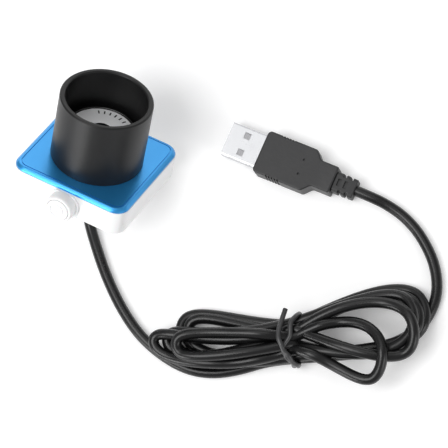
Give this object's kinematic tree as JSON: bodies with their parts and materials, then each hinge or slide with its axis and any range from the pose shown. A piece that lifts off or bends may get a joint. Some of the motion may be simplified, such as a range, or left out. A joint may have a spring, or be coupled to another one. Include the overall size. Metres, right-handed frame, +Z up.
{
  "type": "guide camera",
  "caption": "Square-bodied astronomy guide camera with a round eyepiece-barrel nosepiece, snapshot button, captive lead tied in a hank, and USB plug.",
  "frame": {"origin": "on the table, under the middle of the camera (its box without the lead, hank and plug)", "axes": "+Z up from the table; the nosepiece leans 41.7 degrees from the vertical towards +Y; the snapshot button faces -Y; the lead and plug lie towards +X"},
  "size_m": [0.1461, 0.0874, 0.051],
  "materials": {
    "black_barrel": "satin black anodised",
    "blue_plate": "blue anodised, satin",
    "white_shell": "glossy white moulding",
    "white_button": "glossy white moulding",
    "black_moulding": "matt black moulding",
    "silver_disc": "satin silver",
    "ring_steel": "thin snap ring",
    "window_glass": "clear coated glass",
    "sensor_ceramic": "sensor package",
    "board_green": "solder mask",
    "chip_black": "moulded chip",
    "component_tan": "ceramic capacitors",
    "crystal_can": "metal can",
    "header_white": "connector housing",
    "screw_steel": "zinc plated",
    "spring_steel": "spring wire",
    "seal_black": "thin washer",
    "relief_rubber": "moulded strain relief",
    "wire_colours": "insulated wires",
    "lead_jacket": "dark grey cable jacket",
    "tie_plastic": "plastic covered twist tie",
    "plug_steel": "tinned steel shell",
    "plug_moulding": "dark grey overmould",
    "tongue_white": "plug insulator",
    "contact_gold": "gold plated contacts"
  },
  "bodies": {
    "root": {"front_plate": "blue_plate", "rear_housing": "white_shell", "case_screws": "screw_steel", "sensor_tower": "black_moulding", "tower_screws": "screw_steel", "face_disc": "silver_disc", "disc_ring": "ring_steel", "sensor_window": "window_glass", "sensor_board": "board_green", "board_screws": "screw_steel", "image_sensor": "sensor_ceramic", "sensor_cover": "window_glass", "usb_controller": "chip_black", "memory_chip": "chip_black", "crystal": "crystal_can", "capacitors": "component_tan", "wire_header": "header_white", "button_bezel": "white_button", "button_spring": "spring_steel", "tact_switch": "chip_black", "strain_relief": "relief_rubber", "lead_wires": "wire_colours", "cable_lead": "lead_jacket", "cable_hank": "lead_jacket", "cable_tail": "lead_jacket", "twist_tie": "tie_plastic", "plug_shell": "plug_steel", "plug_tongue": "tongue_white", "plug_contacts": "contact_gold", "plug_overmold": "plug_moulding", "plug_relief": "plug_moulding"},
    "nosepiece": {"nosepiece_tube": "black_barrel"},
    "nose_slider": {"nose_washer": "seal_black"},
    "button": {"button_cap": "white_button", "stem_clip": "spring_steel"}
  },
  "joints": [
    {"name": "nose_lift", "type": "slide", "parent": "root", "child": "nose_slider", "axis": [0, 0.6652, 0.7466], "range_m": [0, 0.00226]},
    {"name": "nose_turn", "type": "hinge", "parent": "nose_slider", "child": "nosepiece", "pos_m": [0, -0.00074, 0.02196], "axis": [0, 0.6652, 0.7466], "range_deg": [0, 1080]},
    {"name": "button_press", "type": "slide", "parent": "root", "child": "button", "axis": [0, 0.7466, -0.6652], "range_m": [0, 0.001], "stiffness_N_per_m": 500, "springref_m": -0.0015, "deforming": ["button_spring"]}
  ],
  "couplings": [
    {"joint": "nose_lift", "follows": "nose_turn", "m_per_rad": 0.00011937}
  ]
}
